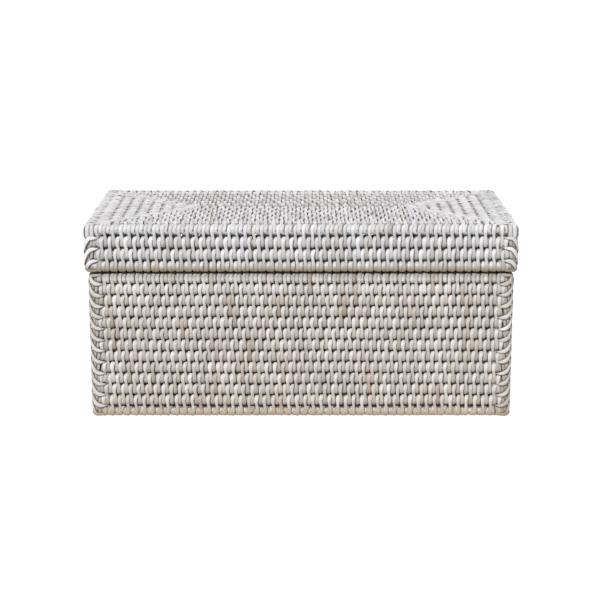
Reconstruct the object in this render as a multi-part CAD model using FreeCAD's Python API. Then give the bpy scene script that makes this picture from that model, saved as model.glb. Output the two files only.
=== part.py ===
import FreeCAD, Part
import os

from FreeCAD import Vector

# A lidded box of coiled rattan. Round core rods are laid in rows and bound to each other with
# flat rattan peel. Four bound walls meet in bound corner posts, a coiled panel closes the bottom,
# and a shallow lid of the same work swings on two peel loops round the rear rim rod.
#
# Frame: millimetres, +Z up, the front faces -Y. The origin is on the underside, at its middle.

# Driving dimensions: the outside of the box
LID_WIDTH = 340.0
LID_DEPTH = 166.0
LID_OVERHANG = 2.5
BASE_HEIGHT = 118.3
BASE_ROWS = 13
LID_HEIGHT = 38.4
LID_ROWS = 4
LID_GAP = 0.5

# Driving dimensions: the rods and the peel bound round them
ROD_RADIUS = 3.0
PEEL_THICKNESS = 1.1
VALLEY_HALF = 3.3
RIM_HALF_HEIGHT = 4.6
RIM_RADIUS = 4.35
BINDING_RADIUS = 4.8
BINDING_ROUND = 4.2
POST_INSET = 1.0
RINGS = 8
RING_BEND_RADIUS = 4.0
FIT = 0.05

# Driving dimensions: the hinge loops
LOOP_X = 96.75
LOOP_WIDTH = 12.9
LOOP_SIDE_GAP = 0.3
LOOP_TOP_GAP = 0.2
PIN_CLEARANCE = 0.06

# Sizes that follow from them
CREST_HALF = ROD_RADIUS + PEEL_THICKNESS
PANEL_THICKNESS = 2 * CREST_HALF
LOOP_RADIUS = ROD_RADIUS + PIN_CLEARANCE + PEEL_THICKNESS
LID_BOTTOM = BASE_HEIGHT + LID_GAP

X_AXIS = Vector(1, 0, 0)
Z_AXIS = Vector(0, 0, 1)


class Shell:
    """The places of one open box of bound walls: the base or the lid."""

    def __init__(self, name, width, depth, height, rows, bottom):
        self.name = name
        self.height = height
        self.rows = rows
        self.bottom = bottom
        self.pitch = (height - 2 * RIM_HALF_HEIGHT) / (rows - 1)
        self.post_x = width / 2 - BINDING_RADIUS
        self.post_y = depth / 2 - BINDING_RADIUS
        self.wall_x = self.post_x - BINDING_RADIUS - FIT
        self.wall_y = self.post_y - BINDING_RADIUS - FIT
        self.panel_x = self.post_x - RIM_RADIUS
        self.panel_y = self.post_y - RIM_RADIUS

    def row_height(self, row):
        """Height of a row's rod; row 0 is the lowest."""
        return self.bottom + RIM_HALF_HEIGHT + row * self.pitch


def save(name, solids):
    """Writes one node, from one solid or from a group of separate ones."""
    shape = solids[0]
    if len(solids) > 1:
        shape = Part.makeCompound(solids)
    shape.exportStep("parts/" + name + ".step")


def arc(start, middle, end):
    return Part.Arc(start, middle, end).toShape()


def rod(half_length, radius=ROD_RADIUS):
    """A straight rod along X, centred on the origin."""
    return Part.makeCylinder(radius, 2 * half_length, Vector(-half_length, 0, 0), X_AXIS)


def on_four_sides(shell, height, along_x, along_y):
    """Copies of two pieces made along X, put on the front, back, left and right walls."""
    sides = {}
    places = (
        ("front", along_x, 0, Vector(0, -shell.post_y, height)),
        ("back", along_x, 180, Vector(0, shell.post_y, height)),
        ("left", along_y, -90, Vector(-shell.post_x, 0, height)),
        ("right", along_y, 90, Vector(shell.post_x, 0, height)),
    )
    for side, piece, turn, place in places:
        copy = piece.copy()
        copy.rotate(Vector(0, 0, 0), Z_AXIS, turn)
        copy.translate(place)
        sides[side] = copy
    return sides


def disc(radius, height):
    """A round face in the YZ plane."""
    return Part.Face(Part.Wire(Part.makeCircle(radius, Vector(0, 0, height), X_AXIS)))


def wall_section(shell):
    """Section of a bound wall in the YZ plane: a sleeve round each rod, and the web between them."""
    heights = [shell.row_height(row) for row in range(shell.rows)]
    bores = [disc(ROD_RADIUS + FIT, height) for height in heights]
    sleeves = [disc(CREST_HALF, height) for height in heights[1:-1]]
    rim_shift = RIM_HALF_HEIGHT - RIM_RADIUS
    sleeves.append(disc(RIM_RADIUS, heights[0] - rim_shift))
    sleeves.append(disc(RIM_RADIUS, heights[-1] + rim_shift))
    low = Vector(0, -VALLEY_HALF, heights[0])
    high = Vector(0, VALLEY_HALF, heights[-1])
    corners = [low, Vector(0, high.y, low.z), high, Vector(0, low.y, high.z), low]
    web = Part.Face(Part.makePolygon(corners))
    return web.fuse(sleeves).removeSplitter().cut(bores)


def bound_wall(shell, half_length):
    """A wall's peel, along X over Y = 0."""
    section = wall_section(shell)
    section.translate(Vector(-half_length, 0, 0))
    return section.Faces[0].extrude(Vector(2 * half_length, 0, 0))


def corner_binding(height):
    """The peel bound round a corner post: a tube with domed ends."""
    outer = Part.makeCylinder(BINDING_RADIUS, height)
    rims = [edge for edge in outer.Edges if isinstance(edge.Curve, Part.Circle)]
    rounded = outer.makeFillet(BINDING_ROUND, rims)
    return rounded.cut(Part.makeCylinder(ROD_RADIUS + FIT, height))


def rounded_rectangle(half_x, half_y, radius, height):
    """A closed wire round the origin, starting in the middle of its front side."""
    inner_x, inner_y = half_x - radius, half_y - radius
    slant = radius * (1 - 0.5 ** 0.5)
    bend_x, bend_y = half_x - slant, half_y - slant

    def point(x, y):
        return Vector(x, y, height)

    edges = [Part.makeLine(point(0, -half_y), point(inner_x, -half_y))]
    edges.append(arc(point(inner_x, -half_y), point(bend_x, -bend_y), point(half_x, -inner_y)))
    edges.append(Part.makeLine(point(half_x, -inner_y), point(half_x, inner_y)))
    edges.append(arc(point(half_x, inner_y), point(bend_x, bend_y), point(inner_x, half_y)))
    edges.append(Part.makeLine(point(inner_x, half_y), point(-inner_x, half_y)))
    edges.append(arc(point(-inner_x, half_y), point(-bend_x, bend_y), point(-half_x, inner_y)))
    edges.append(Part.makeLine(point(-half_x, inner_y), point(-half_x, -inner_y)))
    edges.append(arc(point(-half_x, -inner_y), point(-bend_x, -bend_y), point(-inner_x, -half_y)))
    edges.append(Part.makeLine(point(-inner_x, -half_y), point(0, -half_y)))
    return Part.Wire(edges)


def ring_sizes(shell):
    """Half-sizes of a panel's coil rings, the outermost first."""
    pitch = shell.panel_y / RINGS
    for ring in range(RINGS):
        inset = (ring + 0.5) * pitch
        yield shell.panel_x - inset, shell.panel_y - inset


def ring_rod(half_x, half_y, height):
    """A core rod bent into a closed ring."""
    path = rounded_rectangle(half_x, half_y, RING_BEND_RADIUS, height)
    section = Part.Wire(Part.makeCircle(ROD_RADIUS, Vector(0, -half_y, height), X_AXIS))
    return path.makePipeShell([section], True, False)


def ring_groove(half_x, half_y, height, end):
    """The room for a ring in its panel, open from its middle height to the panel's face at end."""
    width = ROD_RADIUS + FIT
    path = rounded_rectangle(half_x, half_y, RING_BEND_RADIUS, height)
    section = Part.Wire(Part.makeCircle(width, Vector(0, -half_y, height), X_AXIS))
    tube = path.makePipeShell([section], True, False)
    outside = rounded_rectangle(half_x + width, half_y + width, RING_BEND_RADIUS + width, height)
    inside = rounded_rectangle(half_x - width, half_y - width, RING_BEND_RADIUS - width, height)
    slot = Part.makeFace([outside, inside], "Part::FaceMakerBullseye")
    return tube.fuse(slot.extrude(Vector(0, 0, end - height)))


def make_panel(shell, name, low, open_up):
    """A coiled panel between the walls: its rings, and the peel that binds them."""
    half_x, half_y = shell.panel_x - FIT, shell.panel_y - FIT
    corner = Vector(-half_x, -half_y, low)
    plate = Part.makeBox(2 * half_x, 2 * half_y, PANEL_THICKNESS, corner)
    middle = low + PANEL_THICKNESS / 2
    end = low + PANEL_THICKNESS if open_up else low
    grooves = []
    for index, (ring_x, ring_y) in enumerate(ring_sizes(shell)):
        save(f"{name}_ring_{index + 1}", [ring_rod(ring_x, ring_y, middle)])
        grooves.append(ring_groove(ring_x, ring_y, middle, end))
    save(name + "_weave", [plate.cut(grooves)])


def make_rods(shell):
    """One node for each row of core rods: four straight rods, one in each wall."""
    for row in range(shell.rows):
        rods = on_four_sides(shell, shell.row_height(row), rod(shell.wall_x), rod(shell.wall_y))
        save(f"{shell.name}_rod_row_{row + 1:02d}", list(rods.values()))


def make_corners(shell):
    """The four corner posts, and the peel bound round each."""
    posts = []
    for front_back, y in (("front", -shell.post_y), ("back", shell.post_y)):
        for left_right, x in (("left", -shell.post_x), ("right", shell.post_x)):
            foot = Vector(x, y, shell.bottom + POST_INSET)
            posts.append(Part.makeCylinder(ROD_RADIUS, shell.height - 2 * POST_INSET, foot))
            binding = corner_binding(shell.height)
            binding.translate(Vector(x, y, shell.bottom))
            save(f"{shell.name}_corner_binding_{front_back}_{left_right}", [binding])
    save(shell.name + "_corner_posts", posts)


def make_walls(shell, loop_notches):
    """The peel of the four walls; the rear one leaves its rods bare for the hinge loops."""
    walls = on_four_sides(shell, 0.0, bound_wall(shell, shell.wall_x), bound_wall(shell, shell.wall_y))
    walls["back"] = walls["back"].cut(loop_notches)
    for side, wall in walls.items():
        save(f"{shell.name}_weave_{side}", [wall])


def notch(x, y, low, high):
    """A block of room for a hinge loop, right through a rear wall."""
    half_width = LOOP_WIDTH / 2 + LOOP_SIDE_GAP
    corner = Vector(x - half_width, y - BINDING_RADIUS, low)
    return Part.makeBox(2 * half_width, 2 * BINDING_RADIUS, high - low, corner)


def base_notch(base, x):
    """Room above the second rod from the rim, whose own peel stays on as a round sleeve."""
    second_rod = base.row_height(base.rows - 2)
    room = notch(x, base.post_y, second_rod, BASE_HEIGHT + LID_GAP)
    sleeve = rod(LID_WIDTH / 2, CREST_HALF)
    sleeve.translate(Vector(0, base.post_y, second_rod))
    return room.cut(sleeve)


def lid_notch(lid, x):
    """Room for a loop round the lid's lowest rod."""
    top = lid.row_height(0) + LOOP_RADIUS + LOOP_TOP_GAP
    return notch(x, lid.post_y, lid.bottom - LID_GAP, top)


def hinge_loop(base, lid, x):
    """Peel wound round two rods: fast on the lid's lowest one, free to turn on the base's rim rod."""
    pin = Vector(0, base.post_y, base.row_height(base.rows - 1))
    held = Vector(0, lid.post_y, lid.row_height(0))
    across = (held - pin).cross(X_AXIS).normalize() * LOOP_RADIUS
    along = (held - pin).normalize() * LOOP_RADIUS
    outline = Part.Wire([
        Part.makeLine(pin + across, held + across),
        arc(held + across, held + along, held - across),
        Part.makeLine(held - across, pin - across),
        arc(pin - across, pin - along, pin + across),
    ])
    pin_bore = Part.Wire(Part.makeCircle(ROD_RADIUS + PIN_CLEARANCE, pin, X_AXIS))
    held_bore = Part.Wire(Part.makeCircle(ROD_RADIUS + FIT, held, X_AXIS))
    section = Part.makeFace([outline, pin_bore, held_bore], "Part::FaceMakerBullseye")
    section.translate(Vector(x - LOOP_WIDTH / 2, 0, 0))
    return section.extrude(Vector(LOOP_WIDTH, 0, 0))


def main():
    os.makedirs("parts", exist_ok=True)
    base_width = LID_WIDTH - 2 * LID_OVERHANG
    base_depth = LID_DEPTH - 2 * LID_OVERHANG
    base = Shell("base", base_width, base_depth, BASE_HEIGHT, BASE_ROWS, 0.0)
    lid = Shell("lid", LID_WIDTH, LID_DEPTH, LID_HEIGHT, LID_ROWS, LID_BOTTOM)
    loops = (("left", -LOOP_X), ("right", LOOP_X))

    make_rods(base)
    make_corners(base)
    make_walls(base, [base_notch(base, x) for side, x in loops])
    make_panel(base, "base_bottom", 0.0, True)

    make_rods(lid)
    make_corners(lid)
    make_walls(lid, [lid_notch(lid, x) for side, x in loops])
    make_panel(lid, "lid_top", LID_BOTTOM + LID_HEIGHT - PANEL_THICKNESS, False)

    for side, x in loops:
        save("hinge_loop_" + side, [hinge_loop(base, lid, x)])


main()
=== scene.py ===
import math

import bpy
import numpy as np
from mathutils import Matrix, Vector


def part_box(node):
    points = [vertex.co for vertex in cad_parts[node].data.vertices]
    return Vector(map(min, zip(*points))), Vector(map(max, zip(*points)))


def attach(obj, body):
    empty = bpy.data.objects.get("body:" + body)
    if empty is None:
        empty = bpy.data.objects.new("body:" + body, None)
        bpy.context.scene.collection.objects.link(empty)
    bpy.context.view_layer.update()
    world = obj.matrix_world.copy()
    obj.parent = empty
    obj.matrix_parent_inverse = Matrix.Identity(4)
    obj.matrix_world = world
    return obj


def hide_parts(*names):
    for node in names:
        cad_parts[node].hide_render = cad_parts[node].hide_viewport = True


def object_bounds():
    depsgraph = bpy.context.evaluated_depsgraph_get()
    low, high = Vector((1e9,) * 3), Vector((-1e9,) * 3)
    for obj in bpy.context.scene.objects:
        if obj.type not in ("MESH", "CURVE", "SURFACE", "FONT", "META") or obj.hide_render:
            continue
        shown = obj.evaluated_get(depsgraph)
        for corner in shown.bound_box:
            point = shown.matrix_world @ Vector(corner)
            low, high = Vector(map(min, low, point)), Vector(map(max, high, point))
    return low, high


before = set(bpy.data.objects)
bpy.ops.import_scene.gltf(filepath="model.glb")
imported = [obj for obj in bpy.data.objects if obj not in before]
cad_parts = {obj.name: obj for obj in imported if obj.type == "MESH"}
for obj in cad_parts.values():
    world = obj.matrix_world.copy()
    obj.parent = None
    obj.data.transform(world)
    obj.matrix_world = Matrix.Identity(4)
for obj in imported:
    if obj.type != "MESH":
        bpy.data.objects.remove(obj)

# A lidded box of coiled, whitewashed rattan. The core rods are the CAD's own. Each stitch of flat
# peel is a closed loop of real mesh that goes round two neighbouring rods.

CAD_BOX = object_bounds()
MM = 0.001

SEED = 11

# The stitches. A shift is how far each row starts past the one before, as a share of the pitch.
STITCH_PITCH = 6.45 * MM
STITCH_JITTER = 0.22 * MM
ROW_SHIFT = 0.41
PANEL_SHIFT = 0.5
TAIL_WIDTH = 3.75 * MM
PEEL_THICKNESS = 1.15 * MM
CORNER_ROOM = 3.4 * MM

# How one stitch differs from the next: standard deviations, as shares of the usual value or in
# metres, and the limits of its width
WIDTH_SPREAD = 0.06
WIDTH_LIMITS = (0.84, 1.15)
THICKNESS_SPREAD = 0.07
LIFT_SPREAD = 0.22
SLIDE_SPREAD = 0.2
TILT_SPREAD = 0.3 * MM

# Handmade waves in the rows, which die away towards the shell's top and bottom
WAVE_HEIGHT = 0.15 * MM
WAVE_CALM = 9 * MM

# How white the tails are in the row beneath the base's rim: 0 is the tail's paint, 1 the head's
FIRST_ROW_WHITE = 0.65

# The turnover from a wall to its panel: stitches a little wider and whiter than the wall's,
# and near each corner a fan of three, placed from the corner along the rod and along the ring
TURN_WIDTH = 1.13
TURN_WHITE = 0.8
TURN_FAN_ON_ROD = np.array([10.0, 6.6, 3.4]) * MM
TURN_FAN_ON_RING = np.array([3.1, 2.1, 1.0]) * MM

# The coiled panels. Between two rings a stitch narrows to a neck, which dips and slides sideways
# on the long fields. A mitre has a fan of five, placed along the outer ring from the diagonal.
BEND_RADIUS = 4.0 * MM
PANEL_WIDTH = 0.94
PANEL_NARROW = 0.38
NECK_SLIDE = 2.0 * MM
NECK_DEPTH = 1.5 * MM
# NECK_EDGE: how darkly the edges are lined at the neck, painted shade in the gaps beside it
NECK_EDGE = 22.0
MITRE_WIDTH = 1.1
MITRE_NARROW = 0.8 * PANEL_NARROW
MITRE_FAN = np.array([-10.6, -5.4, 0.0, 5.4, 10.6]) * MM
MITRE_INNER_SHARE = 0.30
FAN_SLIDE = 0.1

# How far the skin must face outward to be lit rather than dark brown: painted shade in the gaps
# between rods, over rattan that the whitewash missed there. All dark below the first number, none
# above the second
WALL_DEEP = (-0.45, 0.04)
PANEL_DEEP = (0.66, 0.96)
SMOOTH_DEEP = (0.30, 0.80)

# Tan where the paint is rubbed off, and painted shade at the seam: on the lid's lower edge, and
# the lid's shadow on the base's rim. Bands are heights above the shell's bottom, and the rim's
# shade is measured down from the shell's top.
LID_TAN, LID_TAN_BAND = 1.45, (1.4 * MM, 6.6 * MM)
BASE_TAN, BASE_TAN_BAND = 1.3, (2.0 * MM, 8.0 * MM)
BASE_TAN_SLOPE = 0.25
LID_SHADE, LID_SHADE_BAND = 0.40, (2.0 * MM, 8.0 * MM)
RIM_SHADE, RIM_SHADE_BAND = 0.75, (3.6 * MM, 2.2 * MM)

# The corners: the skin round a post, and its rounding at the shell's top and bottom. A strand
# is darkened over the last stretch to each of its ends, where it goes in under the others: painted
# shade. Its edges are lined dark, for dirt in the joints and painted shade between the strands.
CORNER_RADIUS = 3.75 * MM
CORNER_ROUNDING = 3.7 * MM
CORNER_EDGE = 8.0
CORNER_FADE = 3.0 * MM
CORNER_JITTER = 0.3 * MM
CORNER_THICKNESS = 1.1 * PEEL_THICKNESS

# The strands that swing round a post, with the room that they leave at the shell's bottom and top
SWING_WIDTH = 4.1 * MM
SWING_TIP = 0.30
SWING_REACH = 10.2 * MM
SWING_TAPER = 5.5 * MM
SWING_SUNK = 0.15 * MM
SWING_SUNK_SPREAD = 0.08 * MM
SWING_TUCK = 1.5 * MM
SWING_TUCK_LENGTH = 2.6 * MM
SWING_BEND = 3.2 * MM
BASE_SWING_ROOM = (1.7 * MM, 1.0 * MM)
LID_SWING_ROOM = 0.8 * MM

# The short upright strands beneath them
FILL_PLACES = (1.3, 4.5, 7.9, 11.2)
FILL_REACH = 0.46
FILL_WIDTH = 3.3 * MM
FILL_LEAN = 0.8 * MM
FILL_SUNK = 1.2 * MM
FILL_TUCK = 2.2 * MM
# These strands are darkened by FILL_DEPTH, painted shade beneath the strands that swing over them, and
# FILL_WHITE is how far they take the head's lighter paint over the tail's
FILL_DEPTH = 0.38
FILL_WHITE = 0.3

# The strands over the lid's corners
OVER_PLACES = np.array([-5.4, -1.8, 1.8, 5.4]) * MM
OVER_WIDTH = 4.3 * MM
OVER_BEGIN = 1.0 * MM
OVER_LENGTH = 12.0 * MM
OVER_GATHER = 0.55
OVER_SUNK = 0.1 * MM
OVER_TUCK = 1.6 * MM

# The hinge loops
HINGE_LOOPS = ("hinge_loop_left", "hinge_loop_right")
HINGE_STRANDS = 4
HINGE_GAP = 0.3 * MM

# Section of the peel: places across its width, and heights above the rod, as shares
SECTION = np.array([
    (-0.50, 0.10), (-0.41, 0.64), (-0.16, 0.97), (0.16, 0.97), (0.41, 0.64), (0.50, 0.10),
])

UP = np.array([0.0, 0.0, 1.0])

rng = np.random.default_rng(SEED)


def smooth(low, high, value):
    """0 at low, 1 at high and an S-curve between them."""
    share = np.clip((value - low) / (high - low), 0, 1)
    return share * share * (3 - 2 * share)


def unit(vectors):
    return vectors / np.linalg.norm(vectors, axis=-1, keepdims=True)


# ---------------------------------------------------------------- the frame's places

class Side:
    """One side of the box: u runs to the right as seen from outside, w outward, z up."""

    def __init__(self, name, turn, distance, half):
        self.name = name
        self.along = np.array([math.cos(turn), math.sin(turn), 0.0])
        self.outward = np.array([math.sin(turn), -math.cos(turn), 0.0])
        self.distance = distance
        self.half = half

    def world(self, u, inset, z):
        u = np.asarray(u, dtype=float)
        reach = self.distance - inset
        return u[..., None] * self.along + reach * self.outward + z * UP


class Shell:
    """The rods of the base or the lid, read from the CAD nodes."""

    def __init__(self, name, rows, panel, rings, panel_high):
        self.name = name
        low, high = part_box(f"{name}_rod_row_01")
        self.radius = (high.z - low.z) / 2
        self.plane_x = high.x - self.radius
        self.plane_y = high.y - self.radius
        self.heights = []
        for row in range(rows):
            low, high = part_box(f"{name}_rod_row_{row + 1:02d}")
            self.heights.append((low.z + high.z) / 2)
        self.row_pitch = self.heights[1] - self.heights[0]
        self.insets = []
        for ring in range(rings):
            low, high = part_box(f"{panel}_ring_{ring + 1}")
            self.insets.append(self.plane_y - (high.y - self.radius))
            self.panel_z = (low.z + high.z) / 2
        self.panel_high = panel_high
        self.panel_out = UP if panel_high else -UP
        low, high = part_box(f"{name}_corner_binding_front_left")
        self.bottom, self.top = low.z, high.z
        self.sides = [
            Side("front", 0.0, self.plane_y, self.plane_x),
            Side("right", math.pi / 2, self.plane_x, self.plane_y),
            Side("back", math.pi, self.plane_y, self.plane_x),
            Side("left", -math.pi / 2, self.plane_x, self.plane_y),
        ]


class Corner:
    """A corner of the box, wrapped round its post. Face a is the front or back, b the side."""

    def __init__(self, shell, name, sign_x, sign_y):
        self.name = name
        self.middle = np.array([sign_x * shell.plane_x, sign_y * shell.plane_y, 0.0])
        self.face_a = np.array([0.0, sign_y, 0.0])
        self.face_b = np.array([sign_x, 0.0, 0.0])
        self.bottom, self.top = shell.bottom, shell.top
        self.handed = sign_x * sign_y

    def surface(self, s, t, lift):
        """s: along the wall, 0 in the corner's middle and more on face a; t: height along the skin."""
        s, t, lift = np.broadcast_arrays(s, t, lift)
        quarter = CORNER_RADIUS * math.pi / 4
        turn = np.clip(s / CORNER_RADIUS + math.pi / 4, 0, math.pi / 2)
        flat = np.cos(turn)[..., None] * self.face_b + np.sin(turn)[..., None] * self.face_a
        past_a = np.clip(s - quarter, 0, None)[..., None]
        past_b = np.clip(-s - quarter, 0, None)[..., None]
        rounding = CORNER_ROUNDING
        over = (t - (self.top - rounding)) / rounding
        under = ((self.bottom + rounding) - t) / rounding
        bend = np.clip(over, 0, math.pi / 2) - np.clip(under, 0, math.pi / 2)
        beyond = np.clip(np.maximum(over, under) - math.pi / 2, 0, None) * rounding
        reach = CORNER_RADIUS - rounding + (rounding + lift) * np.cos(bend) - beyond
        level = np.clip(t, self.bottom + rounding, self.top - rounding)
        height = level + (rounding + lift) * np.sin(bend)
        points = self.middle + reach[..., None] * flat - past_a * self.face_b - past_b * self.face_a
        points = points + height[..., None] * UP
        normals = np.cos(bend)[..., None] * flat + np.sin(bend)[..., None] * UP
        return points, normals


# ---------------------------------------------------------------- strands

class Peel:
    """A mesh of many strips of peel, with what its material needs on each vertex."""

    def __init__(self, name):
        self.name = name
        self.vertices = []
        self.faces = []
        self.values = {"strand": [], "tone": [], "grain": [], "rim": []}
        self.count = 0

    def add(self, points, outward, widths, thickness, tone, closed, edge=1.0):
        """points and outward are strips x stations x 3, and widths and thickness strips x stations."""
        if closed:
            tangent = np.roll(points, -1, 1) - np.roll(points, 1, 1)
        else:
            tangent = np.gradient(points, axis=1)
        across = unit(np.cross(tangent, outward))
        normal = unit(np.cross(across, tangent))
        side = SECTION[:, 0, None] * widths[..., None, None] * across[:, :, None, :]
        height = SECTION[:, 1, None] * thickness[..., None, None] * normal[:, :, None, :]
        mesh = points[:, :, None, :] + side + height
        strips, stations, around = mesh.shape[:3]
        step = np.linalg.norm(np.diff(points, axis=1), axis=-1)
        length = np.concatenate([np.zeros((strips, 1)), np.cumsum(step, 1)], 1)
        seeds = rng.random((strips, 3))
        grain = np.zeros(mesh.shape)
        grain[..., 0] = length[..., None]
        grain[..., 1] = SECTION[:, 0] * widths[..., None]
        grain[..., 2] = seeds[:, 0][:, None, None]
        index = np.arange(strips * stations * around).reshape(strips, stations, around) + self.count
        here = index if closed else index[:, :-1]
        ahead = np.roll(index, -1, 1) if closed else index[:, 1:]
        faces = np.stack([here, np.roll(here, -1, 2), np.roll(ahead, -1, 2), ahead], -1)
        self.faces.append(faces.reshape(-1, 4))
        if not closed:
            for row, order in ((index[:, 0], (5, 4, 1, 0)), (index[:, 0], (4, 3, 2, 1)),
                               (index[:, -1], (0, 1, 4, 5)), (index[:, -1], (1, 2, 3, 4))):
                self.faces.append(row[:, order])
        self.vertices.append(mesh.reshape(-1, 3))
        spread = np.broadcast_to(seeds[:, None, None, :], mesh.shape)
        self.values["strand"].append(spread.reshape(-1, 3))
        self.values["tone"].append(np.broadcast_to(tone[:, :, None, :], mesh.shape).reshape(-1, 3))
        self.values["grain"].append(grain.reshape(-1, 3))
        rim = np.zeros(mesh.shape)
        rim[..., 0] = np.abs(SECTION[:, 0]) * 2
        rim[..., 1] = edge
        self.values["rim"].append(rim.reshape(-1, 3))
        self.count += strips * stations * around

    def build(self, body, slot, material, nodes):
        vertices = np.concatenate(self.vertices)
        faces = np.concatenate(self.faces)
        mesh = bpy.data.meshes.new(self.name)
        mesh.vertices.add(len(vertices))
        mesh.vertices.foreach_set("co", vertices.astype(np.float32).ravel())
        mesh.loops.add(len(faces) * 4)
        mesh.loops.foreach_set("vertex_index", faces.astype(np.int32).ravel())
        mesh.polygons.add(len(faces))
        mesh.polygons.foreach_set("loop_start", np.arange(0, len(faces) * 4, 4, dtype=np.int32))
        mesh.update(calc_edges=True)
        mesh.polygons.foreach_set("use_smooth", np.ones(len(faces), dtype=bool))
        for name, values in self.values.items():
            layer = mesh.attributes.new(name, "FLOAT_VECTOR", "POINT")
            layer.data.foreach_set("vector", np.concatenate(values).astype(np.float32).ravel())
        mesh.materials.append(material)
        piece = bpy.data.objects.new(self.name, mesh)
        bpy.context.scene.collection.objects.link(piece)
        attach(piece, body)
        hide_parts(*nodes)
        return piece


class Belt:
    """The stations of a loop of peel that goes round rod a (the head) and rod b (the tail)."""

    # share of rod a, angle from the front, slide along the rod as a share of the pitch,
    # width and lift off the rod in millimetres
    PAIR = (
        (1.0, 180, 0.52, 3.9, 0.0), (1.0, 145, 0.50, 3.7, 0.0), (1.0, 115, 0.44, 3.2, 0.05),
        (1.0, 90, 0.32, 3.1, 0.20), (1.0, 74, 0.20, 3.3, 0.45), (1.0, 58, 0.10, 3.5, 0.65),
        (1.0, 40, 0.03, 3.6, 0.80), (1.0, 20, -0.02, 3.55, 0.82), (1.0, 0, -0.04, 3.35, 0.60),
        (0.78, 0, -0.03, 3.0, 0.05), (0.62, 0, 0.0, 2.65, -0.55), (0.5, 0, 0.02, 2.5, -0.80),
        (0.36, 0, 0.05, 2.8, -0.65), (0.2, 0, 0.07, 3.4, -0.15),
        (0.0, -4, 0.07, 3.8, 0.20), (0.0, -24, 0.06, 3.9, 0.25), (0.0, -46, 0.04, 3.9, 0.20),
        (0.0, -68, -0.01, 3.75, 0.18), (0.0, -90, -0.09, 3.4, 0.15), (0.0, -115, 0.02, 3.1, 0.05),
        (0.0, -145, 0.30, 3.6, 0.0), (0.0, -180, 0.60, 3.9, 0.0), (0.5, 180, 0.56, 4.8, -1.70),
    )
    WRAP = (
        (1.0, 180, 0.50, 3.3, 0.1), (1.0, 150, 0.45, 3.4, 0.1), (1.0, 120, 0.30, 3.5, 0.1),
        (1.0, 90, 0.15, 3.6, 0.15), (1.0, 60, 0.05, 3.6, 0.30), (1.0, 30, 0.0, 3.6, 0.35),
        (1.0, 0, 0.0, 3.6, 0.35), (1.0, -30, 0.0, 3.6, 0.30), (1.0, -60, 0.04, 3.6, 0.15),
        (1.0, -90, 0.14, 3.5, 0.05), (1.0, -120, 0.30, 3.4, 0.0), (1.0, -150, 0.45, 3.3, 0.05),
    )

    def __init__(self, single):
        table = np.array(self.WRAP if single else self.PAIR)
        self.share = table[:, 0]
        self.angle = np.radians(table[:, 1])
        self.slide = table[:, 2] * STITCH_PITCH
        self.width = table[:, 3] * MM
        self.lift = table[:, 4] * MM


def warp(shell, points):
    """Handmade unevenness: slow waves in the rows of stitches."""
    x, y, z = points[..., 0], points[..., 1], points[..., 2]
    moved = points.copy()
    wave = np.sin(x * 31 + z * 47 + y * 19) + np.sin(x * 67 - z * 23 + 1.3) + np.sin(y * 53 + z * 71)
    inside = smooth(0, WAVE_CALM, z - shell.bottom) * smooth(0, WAVE_CALM, shell.top - z)
    moved[..., 2] += WAVE_HEIGHT * wave * inside
    return moved


def warmth(shell, points):
    """How far the whitewash gives way to tan: at the lid's lower edge and down the base."""
    above = points[..., 2] - shell.bottom
    if shell.panel_high:
        return LID_TAN * (1 - smooth(*LID_TAN_BAND, above))
    edge = 1 - smooth(*BASE_TAN_BAND, above)
    return BASE_TAN_SLOPE * (1 - above / (shell.top - shell.bottom)) + BASE_TAN * edge


def painted_seam_shade(shell, points):
    """Painted shade at the seam: on the lid's lower edge, and the lid's shadow on the base's rim
    beneath it.
    """
    if shell.panel_high:
        return LID_SHADE * (1 - smooth(*LID_SHADE_BAND, points[..., 2] - shell.bottom))
    low, high = (shell.top - below for below in RIM_SHADE_BAND)
    return RIM_SHADE * smooth(low, high, points[..., 2])


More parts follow.
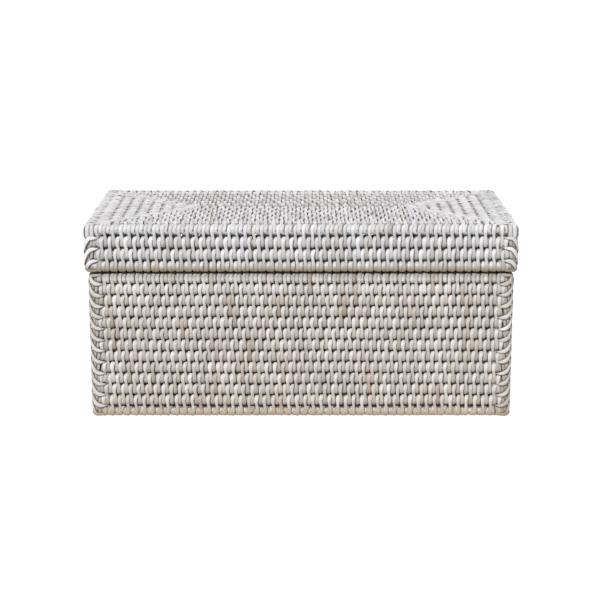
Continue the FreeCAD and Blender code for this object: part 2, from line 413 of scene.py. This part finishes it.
def belts(peel, shell, place_a, place_b, out, lateral, open_to, width=1.0, spread=1.0, white=0.0,
          deep=WALL_DEEP, narrow=0.0, dip=0.0):
    """Loops of peel round the rods at place_a and place_b (one rod, when place_b is None).

    open_to lists the ways from which the loop can be seen; skin that faces away from all of them is
    given painted shade. narrow is how far the loop thins between its rods, and how darkly its edges
    are lined there with painted shade, and dip how far it sinks and slides sideways there.
    """
    single = place_b is None
    belt = Belt(single)
    count, stations = len(place_a), len(belt.angle)
    place_b = place_a if single else place_b
    if single:
        up = np.cross(out, lateral)
        up = np.broadcast_to(up * np.sign(up[..., 2:3]), place_a.shape)
        out = np.broadcast_to(out, place_a.shape)
    else:
        up = unit(place_a - place_b)
        out = unit(out - (up * out).sum(-1, keepdims=True) * up)
    size = rng.normal(1, WIDTH_SPREAD, count).clip(*WIDTH_LIMITS)[:, None] * width
    lift = belt.lift * rng.normal(1, LIFT_SPREAD, count)[:, None]
    faces_floor = np.sum(out[..., 2]) < -0.5
    if faces_floor:
        # beneath the bottom no strand stands proud, because the box rests on them
        lift = np.minimum(lift, 0)
    sway = rng.normal(1, SLIDE_SPREAD, count)[:, None] * spread
    tilt = rng.normal(0, TILT_SPREAD, count)[:, None]
    cos, sin = np.cos(belt.angle), np.sin(belt.angle)
    normal = cos[:, None] * out[:, None, :] + sin[:, None] * up[:, None, :]
    share = belt.share[:, None]
    middle = share * place_a[:, None, :] + (1 - share) * place_b[:, None, :]
    reach = shell.radius + lift
    neck = 1 - np.abs(2 * belt.share - 1)
    slide = belt.slide * sway + (belt.share - 0.5) * tilt * smooth(-1, 1, cos)
    slide = slide + dip * neck * NECK_SLIDE
    reach = reach - dip * neck * NECK_DEPTH
    points = warp(shell, middle + normal * reach[..., None] + slide[..., None] * lateral)
    exposure = np.max([normal @ np.asarray(way) for way in open_to], axis=0)
    thickness = np.full((count, stations), PEEL_THICKNESS)
    thickness = thickness * rng.normal(1, THICKNESS_SPREAD, count)[:, None]
    # The tone: how clear the skin is of painted shade (in the gaps and at the seam), how tan it is,
    # and how far the head's paint reaches, the tail's darker paint being partly painted shade
    tone = np.zeros((count, stations, 3))
    tone[..., 0] = smooth(*deep, exposure) * (1 - painted_seam_shade(shell, points))
    tone[..., 1] = warmth(shell, points)
    tone[..., 2] = smooth(0.1, 0.85, belt.share) * (1 - white) + white
    waist = 1 - narrow * neck * smooth(-1, 1, cos)
    edge = 1 + narrow * smooth(0.35, 0.9, neck) * NECK_EDGE
    peel.add(points, normal, belt.width * waist * size, thickness, tone, True, edge[:, None])


def places(half, phase, gaps=()):
    """Where the stitches of one row stand along its rod."""
    first = math.ceil(-half / STITCH_PITCH - phase)
    last = math.floor(half / STITCH_PITCH - phase)
    u = (np.arange(first, last + 1) + phase) * STITCH_PITCH
    u = u + rng.normal(0, STITCH_JITTER, len(u))
    for low, high in gaps:
        u = u[(u < low) | (u > high)]
    return u


def weave_wall(shell, side, gaps):
    """All the loops of one wall, with the row that joins it to the panel and the rim's wraps."""
    peel = Peel(f"{shell.name}_peel_{side.name}")
    out, inward = side.outward, -side.outward
    half = side.half - CORNER_ROOM
    start = rng.random()
    heights = shell.heights
    for index in range(1, len(heights)):
        u = places(half, (start + index * ROW_SHIFT) % 1, gaps if by_hinge(shell, index) else ())
        a = side.world(u, 0.0, heights[index])
        b = side.world(u, 0.0, heights[index - 1])
        top_row = index == len(heights) - 1
        open_to = [out, inward]
        if top_row:
            open_to.append(UP)
        if index == 1:
            open_to.append(-UP)
        white = FIRST_ROW_WHITE if top_row and not shell.panel_high else 0.0
        belts(peel, shell, a, b, out, side.along, open_to, white=white)
    edge = len(heights) if shell.panel_high else 0
    u = places(side.half - shell.insets[0] - BEND_RADIUS, (start + edge * ROW_SHIFT) % 1)
    ring = side.world(u, shell.insets[0], shell.panel_z)
    rod = side.world(u, 0.0, heights[-1 if shell.panel_high else 0])
    pair = (ring, rod) if shell.panel_high else (rod, ring)
    belts(peel, shell, *pair, shell.panel_out, side.along, [out, inward, UP, -UP],
          width=TURN_WIDTH, white=TURN_WHITE)
    turn_edge(peel, shell, side)
    rim = 0 if shell.panel_high else len(heights)
    u = places(half, (start + rim * ROW_SHIFT) % 1, gaps)
    rod = side.world(u, 0.0, heights[0 if shell.panel_high else -1])
    belts(peel, shell, rod, None, out, side.along, [out, inward, UP, -UP])
    return peel


def turn_edge(peel, shell, side):
    """The loops that fan out from the outer ring's corners to the edge rod."""
    before = shell.sides[shell.sides.index(side) - 1]
    for sign, corner_side in ((1, side), (-1, before)):
        ring = ring_place(shell, corner_side, 0, -sign * TURN_FAN_ON_RING)
        height = shell.heights[-1 if shell.panel_high else 0]
        rod = side.world(sign * (side.half - TURN_FAN_ON_ROD), 0.0, height)
        pair = (ring, rod) if shell.panel_high else (rod, ring)
        ways = [side.outward, -side.outward, UP, -UP]
        belts(peel, shell, *pair, shell.panel_out, side.along, ways,
              spread=FAN_SLIDE, white=TURN_WHITE)


def by_hinge(shell, index):
    """Whether the stitches between these rows leave room for the hinge loops."""
    return index == (1 if shell.panel_high else len(shell.heights) - 1)


def ring_place(shell, side, ring, distance):
    """A place on a ring, by its distance along the ring from the diagonal at the side's right end."""
    inset = shell.insets[ring]
    end = side.half - inset - BEND_RADIUS
    turn = np.clip(distance / BEND_RADIUS, -math.pi / 4, math.pi / 4) + math.pi / 4
    past = np.clip(np.abs(distance) - BEND_RADIUS * math.pi / 4, 0, None)
    before, after = past * (distance < 0), past * (distance > 0)
    centre = side.world(end, inset + BEND_RADIUS, shell.panel_z)
    round_bend = np.sin(turn)[:, None] * side.along + np.cos(turn)[:, None] * side.outward
    return (centre + BEND_RADIUS * round_bend
            - before[:, None] * side.along - after[:, None] * side.outward)


def weave_panel(shell, side):
    """The loops of one field of the coiled panel, and the fan of loops on its right mitre."""
    peel = Peel(f"{shell.name}_panel_peel_{side.name}")
    start = rng.random()
    long_field = abs(side.along[0]) > 0.5
    deep = PANEL_DEEP if long_field else SMOOTH_DEEP
    dip = PANEL_NARROW if long_field else 0.0
    for index in range(1, len(shell.insets)):
        half = side.half - shell.insets[index] - BEND_RADIUS - 0.4 * MM
        u = places(half, (start + index * PANEL_SHIFT) % 1)
        inner = side.world(u, shell.insets[index], shell.panel_z)
        outer = side.world(u, shell.insets[index - 1], shell.panel_z)
        pair = (inner, outer) if shell.panel_high else (outer, inner)
        belts(peel, shell, *pair, shell.panel_out, side.along, [UP, -UP],
              width=PANEL_WIDTH, white=1.0, deep=deep, narrow=PANEL_NARROW, dip=dip)
        inner = ring_place(shell, side, index, MITRE_FAN * MITRE_INNER_SHARE)
        outer = ring_place(shell, side, index - 1, MITRE_FAN)
        lateral = unit(np.cross(unit(inner - outer), UP)) * -1
        belts(peel, shell, inner, outer, shell.panel_out, lateral[:, None, :], [UP, -UP],
              width=MITRE_WIDTH, spread=FAN_SLIDE, white=1.0, deep=SMOOTH_DEEP, narrow=MITRE_NARROW)
    if side.name == "front":
        join_middle(peel, shell, side, (start + len(shell.insets) * PANEL_SHIFT) % 1)
    return peel


def join_middle(peel, shell, side, phase):
    """The loops that bind the two long runs of the innermost ring to each other."""
    inset = shell.insets[-1]
    u = places(side.half - inset - BEND_RADIUS, phase)
    near = side.world(u, inset, shell.panel_z)
    far = side.world(u, 2 * side.distance - inset, shell.panel_z)
    pair = (far, near) if shell.panel_high else (near, far)
    belts(peel, shell, *pair, shell.panel_out, side.along, [UP, -UP],
          width=PANEL_WIDTH, white=1.0, deep=PANEL_DEEP, narrow=PANEL_NARROW, dip=PANEL_NARROW)


def corner_strips(peel, shell, corner, s, t, lift, width, ends, white=1.0, depth=0.0):
    """Strands laid on a corner's skin. s, t, lift and width are strips x stations."""
    points, normals = corner.surface(s, t, lift)
    clear = smooth(0, CORNER_FADE, np.abs(ends))
    count, stations = s.shape
    tone = np.zeros((count, stations, 3))
    # Painted shade: towards the strand's ends, over the whole strand by depth, and at the seam
    tone[..., 0] = (0.15 + 0.85 * clear) * (1 - depth) * (1 - painted_seam_shade(shell, points))
    tone[..., 1] = warmth(shell, points)
    tone[..., 2] = white
    thickness = np.full((count, stations), CORNER_THICKNESS)
    if corner.handed < 0:
        # a mirrored corner's strips run backwards, so that their faces still point outward
        points, normals, width, tone = points[:, ::-1], normals[:, ::-1], width[:, ::-1], tone[:, ::-1]
    peel.add(points, normals, width, thickness, tone, False, CORNER_EDGE)


def swing(shell, corner, peel, middles, slope, low, high):
    """A strand to a row, swinging round the post: it drops from face b to face a, or climbs."""
    s = np.linspace(-SWING_REACH, SWING_REACH, 25)
    drop = 0.25 + 0.75 * np.tanh((s + 0.5 * MM) / SWING_BEND)
    s = np.tile(s, (len(middles), 1))
    t = middles[:, None] + slope * shell.row_pitch * (0.5 - drop)
    t = np.clip(t + rng.normal(0, CORNER_JITTER, (len(middles), 1)), low, high)
    proud = smooth(SWING_REACH, SWING_REACH - SWING_TUCK_LENGTH, np.abs(s))
    lift = -SWING_SUNK - (1 - proud) * SWING_TUCK
    lift = lift + rng.normal(0, SWING_SUNK_SPREAD, (len(middles), 1))
    full = smooth(SWING_REACH, SWING_REACH - SWING_TAPER, np.abs(s))
    width = SWING_WIDTH * (SWING_TIP + (1 - SWING_TIP) * full)
    width = width * rng.normal(1, WIDTH_SPREAD, (len(middles), 1))
    corner_strips(peel, shell, corner, s, t, lift, width, SWING_REACH - np.abs(s))


def fill_corner(shell, corner, peel, heights):
    """Short upright strands on each row, between the wall's stitches and the post."""
    up = np.linspace(-1, 1, 11)
    reach = shell.row_pitch * FILL_REACH
    for place in FILL_PLACES:
        for sign in (-1, 1):
            count = len(heights)
            t = np.asarray(heights)[:, None] + up * reach
            t = t + rng.normal(0, 0.12 * MM, (count, 1))
            s = sign * place * MM + rng.normal(0, CORNER_JITTER, (count, 1)) + sign * up * FILL_LEAN
            lift = np.tile(-FILL_SUNK - FILL_TUCK * np.abs(up) ** 3, (count, 1))
            width = FILL_WIDTH * rng.normal(1, WIDTH_SPREAD, (count, 1)) * np.ones(len(up))
            ends = np.tile((1 - np.abs(up)) * reach, (count, 1))
            s = s * np.ones_like(t)
            corner_strips(peel, shell, corner, s, t, lift, width, ends, FILL_WHITE, FILL_DEPTH)


def wrap_base_corner(shell, corner):
    """One strand to a row, high on the side face, swinging down round the post to the front."""
    peel = Peel(f"base_corner_peel_{corner.name}")
    pitch = shell.row_pitch
    fill_corner(shell, corner, peel, shell.heights)
    middles = shell.heights[0] + np.arange(-1, len(shell.heights) + 1) * pitch
    below, above = BASE_SWING_ROOM
    swing(shell, corner, peel, middles, 1, shell.bottom + below, shell.top - above)
    return peel


def wrap_lid_corner(shell, corner):
    """Strands over the top of the corner, and others that climb from the side to the front."""
    peel = Peel(f"lid_corner_peel_{corner.name}")
    pitch = shell.row_pitch
    fill_corner(shell, corner, peel, shell.heights)
    middles = shell.heights[0] + np.arange(-1, 3) * pitch
    swing(shell, corner, peel, middles, -1, shell.bottom + LID_SWING_ROOM, shell.top - pitch)
    over = np.linspace(0, 1, 21)
    start = shell.top - pitch - OVER_BEGIN
    end = shell.top + OVER_LENGTH
    count = len(OVER_PLACES)
    t = np.tile(start + (end - start) * over, (count, 1))
    s = np.tile(OVER_PLACES[:, None], (1, len(over)))
    s = s * (1 - OVER_GATHER * smooth(0.55, 1.0, over))
    s = s + rng.normal(0, 0.15 * MM, (count, 1))
    tucked = smooth(0.12, 0.0, over) + smooth(0.9, 1.0, over)
    lift = np.tile(-OVER_SUNK - OVER_TUCK * tucked, (count, 1))
    width = np.tile(OVER_WIDTH * (1 - 0.25 * smooth(0.12, 0.0, over)), (count, 1))
    ends = np.minimum(over, 1 - over) * (end - start)
    corner_strips(peel, shell, corner, s, t, lift, width, np.tile(ends, (count, 1)))
    return peel


def weave_hinge(lid, base, side, name):
    """A hinge loop: strands side by side round the base's rim rod and the lid's lowest rod."""
    low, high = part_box(name)
    peel = Peel(name.replace("loop", "peel"))
    middle = -(low.x + high.x) / 2
    width = high.x - low.x
    u = middle + (np.arange(HINGE_STRANDS) - (HINGE_STRANDS - 1) / 2) / HINGE_STRANDS * width
    upper = side.world(u, 0.0, lid.heights[0])
    lower = side.world(u, lid.plane_y - base.plane_y, base.heights[-1])
    belts(peel, lid, upper, lower, side.outward, side.along, [side.outward, -side.outward],
          spread=0.05)
    return peel


# ---------------------------------------------------------------- materials

# Paint on a stitch's head and on its tail, and how strongly odd strands differ from the rest.
# The tail's paint is darker and warmer: a tan, with painted shade where the tail lies low.
LID_HEAD, LID_TAIL, LID_ODD = (0.445, 0.444, 0.458, 1), (0.322, 0.311, 0.313, 1), 0.5
BASE_HEAD, BASE_TAIL, BASE_ODD = (0.418, 0.404, 0.395, 1), (0.297, 0.270, 0.243, 1), 0.85
# Dark lines along the strands' edges: dirt in the joints, and painted shade between the strands
EDGE_COLOUR = (0.13, 0.105, 0.085, 1)
# Painted shade: the dark brown given to skin that turns into the gaps, and to the seam under the lid
PAINTED_SHADE_COLOUR, PAINTED_SHADE_SHARE = (0.12, 0.092, 0.07, 1), 0.7
ODD_TINTS = (
    (0.0, (0.66, 0.53, 0.44)), (0.04, (0.80, 0.72, 0.64)), (0.10, (0.94, 0.93, 0.92)),
    (0.50, (1, 1, 1)), (0.84, (1.06, 1.06, 1.06)), (0.90, (0.99, 0.90, 0.90)),
    (0.95, (0.94, 0.94, 0.87)), (1.0, (0.88, 0.84, 0.74)),
)
BARE_TINTS = ((0.0, (0.30, 0.225, 0.155)), (0.5, (0.31, 0.255, 0.185)), (1.0, (0.27, 0.24, 0.18)))
# Rods: raw rattan, kept dark as painted shade in the gaps, and the pale paint on their outer faces
RAW_ROD = ((0.3, (0.13, 0.097, 0.07)), (0.7, (0.25, 0.20, 0.145)))
PAINTED_ROD = ((0.3, (0.30, 0.27, 0.235)), (0.7, (0.42, 0.40, 0.375)))
FLOOR_COLOUR, FLOOR_GLOW = (0.20, 0.20, 0.199, 1), 0.88

# The peel's noise: waves per metre along and across it, and how much strands differ
STREAKS, PATCHES, FIBRES = (90, 1700, 40), (230, 320, 90), (60, 4200, 55)


def node(tree, kind, **settings):
    made = tree.nodes.new(kind)
    for key, value in settings.items():
        if key.startswith("in_"):
            made.inputs[int(key[3:])].default_value = value
        else:
            setattr(made, key, value)
    return made


def math_node(tree, operation, first, second, clamp=False):
    made = node(tree, "ShaderNodeMath", operation=operation, use_clamp=clamp)
    for index, value in enumerate((first, second)):
        if isinstance(value, (int, float)):
            made.inputs[index].default_value = value
        else:
            tree.links.new(value, made.inputs[index])
    return made.outputs[0]


def mix_colour(tree, factor, first, second, mode="MIX"):
    made = node(tree, "ShaderNodeMix", data_type="RGBA", blend_type=mode)
    for index, value in ((0, factor), (6, first), (7, second)):
        if isinstance(value, (int, float, tuple)):
            made.inputs[index].default_value = value
        else:
            tree.links.new(value, made.inputs[index])
    return made.outputs[2]


def split(tree, name):
    """The three numbers of a mesh attribute."""
    attribute = node(tree, "ShaderNodeAttribute", attribute_name=name)
    parts = node(tree, "ShaderNodeSeparateXYZ")
    tree.links.new(attribute.outputs["Vector"], parts.inputs[0])
    return attribute.outputs["Vector"], parts.outputs


def ramp(tree, value, stops):
    made = node(tree, "ShaderNodeValToRGB")
    made.color_ramp.interpolation = "LINEAR"
    while len(made.color_ramp.elements) < len(stops):
        made.color_ramp.elements.new(0.5)
    for element, (place, colour) in zip(made.color_ramp.elements, stops):
        element.position = place
        element.color = (*colour, 1)
    tree.links.new(value, made.inputs[0])
    return made.outputs[0]


def new_material(name):
    material = bpy.data.materials.new(name)
    material.use_nodes = True
    tree = material.node_tree
    shader = tree.nodes["Principled BSDF"]
    shader.inputs["Specular IOR Level"].default_value = 0.35
    return material, tree, shader


def peel_material(name, head_white, tail_white, oddness):
    """Whitewashed peel: each strand its own tint, with worn streaks along it."""
    material, tree, shader = new_material(name)
    strand = split(tree, "strand")[1]
    tone = split(tree, "tone")[1]
    grain_vector = split(tree, "grain")[0]

    def noise(scale, detail):
        stretch = node(tree, "ShaderNodeVectorMath", operation="MULTIPLY")
        stretch.inputs[1].default_value = scale
        tree.links.new(grain_vector, stretch.inputs[0])
        made = node(tree, "ShaderNodeTexNoise", noise_dimensions="3D",
                    in_2=1.0, in_3=detail, in_4=0.6)
        tree.links.new(stretch.outputs[0], made.inputs["Vector"])
        return made.outputs[0]

    streaks = noise(STREAKS, 3.0)
    patches = noise(PATCHES, 2.0)
    fibres = noise(FIBRES, 2.0)
    paint = mix_colour(tree, tone[2], tail_white, head_white)
    odd = ramp(tree, strand[1], ODD_TINTS)
    paint = mix_colour(tree, oddness, paint, odd, "MULTIPLY")
    level = math_node(tree, "ADD", math_node(tree, "MULTIPLY", strand[0], 0.26), 0.86)
    level = math_node(tree, "ADD", level, math_node(tree, "MULTIPLY", fibres, 0.22))
    level = math_node(tree, "SUBTRACT", level, 0.11)
    grey = node(tree, "ShaderNodeCombineXYZ")
    for socket in grey.inputs:
        tree.links.new(level, socket)
    paint = mix_colour(tree, 1.0, paint, grey.outputs[0], "MULTIPLY")
    bare = ramp(tree, strand[2], BARE_TINTS)
    worn = math_node(tree, "MULTIPLY", streaks, patches)
    worn = math_node(tree, "ADD", worn, math_node(tree, "MULTIPLY", tone[1], 0.27))
    worn = math_node(tree, "MULTIPLY", math_node(tree, "SUBTRACT", worn, 0.27), 3.2, clamp=True)
    colour = mix_colour(tree, worn, paint, bare)
    # Dark lines along each strand's edges: dirt in the joints, and painted shade between strands and
    # beside the panel's necks
    rim = split(tree, "rim")[1]
    line = math_node(tree, "MULTIPLY", math_node(tree, "SUBTRACT", rim[0], 0.55), 3.0, clamp=True)
    line = math_node(tree, "MULTIPLY", line, math_node(tree, "MULTIPLY", rim[1], 0.14, clamp=True))
    colour = mix_colour(tree, line, colour, EDGE_COLOUR)
    # Painted shade: dark brown where the tone says the skin turns into the gaps, and at the seam
    deep = math_node(tree, "SUBTRACT", 1.0, tone[0], clamp=True)
    deep = math_node(tree, "MULTIPLY", deep, PAINTED_SHADE_SHARE)
    colour = mix_colour(tree, deep, colour, PAINTED_SHADE_COLOUR)
    tree.links.new(colour, shader.inputs["Base Color"])
    rough = math_node(tree, "ADD", math_node(tree, "MULTIPLY", worn, 0.15), 0.52)
    tree.links.new(rough, shader.inputs["Roughness"])
    bump = node(tree, "ShaderNodeBump", in_0=0.5, in_1=0.0002)
    tree.links.new(fibres, bump.inputs["Height"])
    tree.links.new(bump.outputs[0], shader.inputs["Normal"])
    return material


def rod_material(name, upright):
    """Core rods: pale paint where they face out between the strands, and dark raw rattan where they
    face into the gaps between them, which also stands as painted shade there.

    upright: only faces that point up or down are pale. Otherwise all but those are.
    """
    material, tree, shader = new_material(name)
    place = node(tree, "ShaderNodeTexCoord")
    noise = node(tree, "ShaderNodeTexNoise", in_2=420.0, in_3=3.0, in_4=0.6)
    tree.links.new(place.outputs["Object"], noise.inputs["Vector"])
    raw = ramp(tree, noise.outputs[0], RAW_ROD)
    paint = ramp(tree, noise.outputs[0], PAINTED_ROD)
    parts = node(tree, "ShaderNodeSeparateXYZ")
    tree.links.new(place.outputs["Normal"], parts.inputs[0])
    facing = math_node(tree, "ABSOLUTE", parts.outputs[2], 0.0)
    order = (facing, 0.92) if upright else (0.86, facing)
    pale_faces = math_node(tree, "SUBTRACT", *order)
    pale_faces = math_node(tree, "MULTIPLY", pale_faces, 5.0, clamp=True)
    tree.links.new(mix_colour(tree, pale_faces, raw, paint), shader.inputs["Base Color"])
    shader.inputs["Roughness"].default_value = 0.75
    bump = node(tree, "ShaderNodeBump", in_0=0.4, in_1=0.0003)
    tree.links.new(noise.outputs[0], bump.inputs["Height"])
    tree.links.new(bump.outputs[0], shader.inputs["Normal"])
    return material


def floor_material():
    """A pale floor that glows a little, so that it reads as the studio's white sweep."""
    material, tree, shader = new_material("floor")
    shader.inputs["Base Color"].default_value = FLOOR_COLOUR
    shader.inputs["Emission Color"].default_value = (1, 1, 1, 1)
    shader.inputs["Emission Strength"].default_value = FLOOR_GLOW
    shader.inputs["Roughness"].default_value = 0.9
    return material


# ---------------------------------------------------------------- camera, light and floor

CAMERA_PLACE = Vector((-0.0008, -1.303, 0.392))
CAMERA_PITCH = 13.58
LENS_PER_FRAME = 2.665
SENSOR_WIDTH = 36
FLOOR_SIZE = 40.0
WORLD_STRENGTH = 0.55

# Suns: place, angular size in degrees and strength. Each looks at the middle of the object.
KEY_SUN = ((-0.50, -1.2, 1.4), 7, 4.3)
FILL_SUN = ((0.6, 1.2, 0.9), 25, 0.8)


def make_camera():
    camera = bpy.data.cameras.new("camera")
    camera.sensor_width = SENSOR_WIDTH
    camera.lens = SENSOR_WIDTH * LENS_PER_FRAME
    camera.clip_start = 0.01
    holder = bpy.data.objects.new("camera", camera)
    holder.location = CAMERA_PLACE
    holder.rotation_euler = (math.radians(90 - CAMERA_PITCH), 0, 0)
    bpy.context.scene.collection.objects.link(holder)
    bpy.context.scene.camera = holder


def sun_light(name, target, place, angle, strength):
    light = bpy.data.lights.new(name, "SUN")
    light.angle = math.radians(angle)
    light.energy = strength
    holder = bpy.data.objects.new(name, light)
    holder.location = place
    holder.rotation_euler = (Vector(target) - Vector(place)).to_track_quat("-Z", "Y").to_euler()
    bpy.context.scene.collection.objects.link(holder)


def make_studio():
    scene = bpy.context.scene
    scene.view_settings.view_transform = "Standard"
    world = bpy.data.worlds.new("studio")
    scene.world = world
    world.use_nodes = True
    background = world.node_tree.nodes["Background"]
    background.inputs[0].default_value = (1.0, 1.0, 1.0, 1)
    background.inputs[1].default_value = WORLD_STRENGTH
    middle = (0, 0, (CAD_BOX[0].z + CAD_BOX[1].z) / 2)
    sun_light("key", middle, *KEY_SUN)
    sun_light("fill", middle, *FILL_SUN)
    mesh = bpy.data.meshes.new("floor")
    half = FLOOR_SIZE / 2
    corners = [(-half, -half, 0), (half, -half, 0), (half, half, 0), (-half, half, 0)]
    mesh.from_pydata(corners, [], [(0, 1, 2, 3)])
    mesh.materials.append(floor_material())
    floor = bpy.data.objects.new("floor", mesh)
    scene.collection.objects.link(floor)


# ---------------------------------------------------------------- making it

def loop_gaps(side):
    """Stretches of a rear wall that its stitches leave free for the hinge loops."""
    if side.name != "back":
        return []
    gaps = []
    for name in HINGE_LOOPS:
        low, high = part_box(name)
        room = TAIL_WIDTH / 2 + HINGE_GAP
        gaps.append((-high.x - room, -low.x + room))
    return gaps


def weave_shell(shell, paint, panel):
    """Everything that is woven on the base or the lid: walls, panel and corners."""
    slot = shell.name + "_peel"
    for side in shell.sides:
        wall = weave_wall(shell, side, loop_gaps(side))
        wall.build(shell.name, slot, paint, [f"{shell.name}_weave_{side.name}"])
        field = weave_panel(shell, side)
        field.build(shell.name, slot, paint, [panel + "_weave"])
    wrap = wrap_lid_corner if shell.panel_high else wrap_base_corner
    for end, sign_y in (("front", -1), ("back", 1)):
        for hand, sign_x in (("left", -1), ("right", 1)):
            corner = Corner(shell, f"{end}_{hand}", sign_x, sign_y)
            piece = wrap(shell, corner)
            piece.build(shell.name, slot, paint, [f"{shell.name}_corner_binding_{corner.name}"])


def main():
    make_camera()
    make_studio()
    base = Shell("base", 13, "base_bottom", 8, False)
    lid = Shell("lid", 4, "lid_top", 8, True)
    lid_paint = peel_material("lid_peel", LID_HEAD, LID_TAIL, LID_ODD)
    base_paint = peel_material("base_peel", BASE_HEAD, BASE_TAIL, BASE_ODD)
    weave_shell(base, base_paint, "base_bottom")
    weave_shell(lid, lid_paint, "lid_top")
    for name in HINGE_LOOPS:
        loops = weave_hinge(lid, base, lid.sides[2], name)
        loops.build("lid", "hinge_peel", lid_paint, [name])
    wall_rods = rod_material("core_rod_wall", False)
    panel_rods = rod_material("core_rod_panel", True)
    for name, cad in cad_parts.items():
        cad.data.materials.clear()
        cad.data.materials.append(panel_rods if "_ring_" in name else wall_rods)


main()
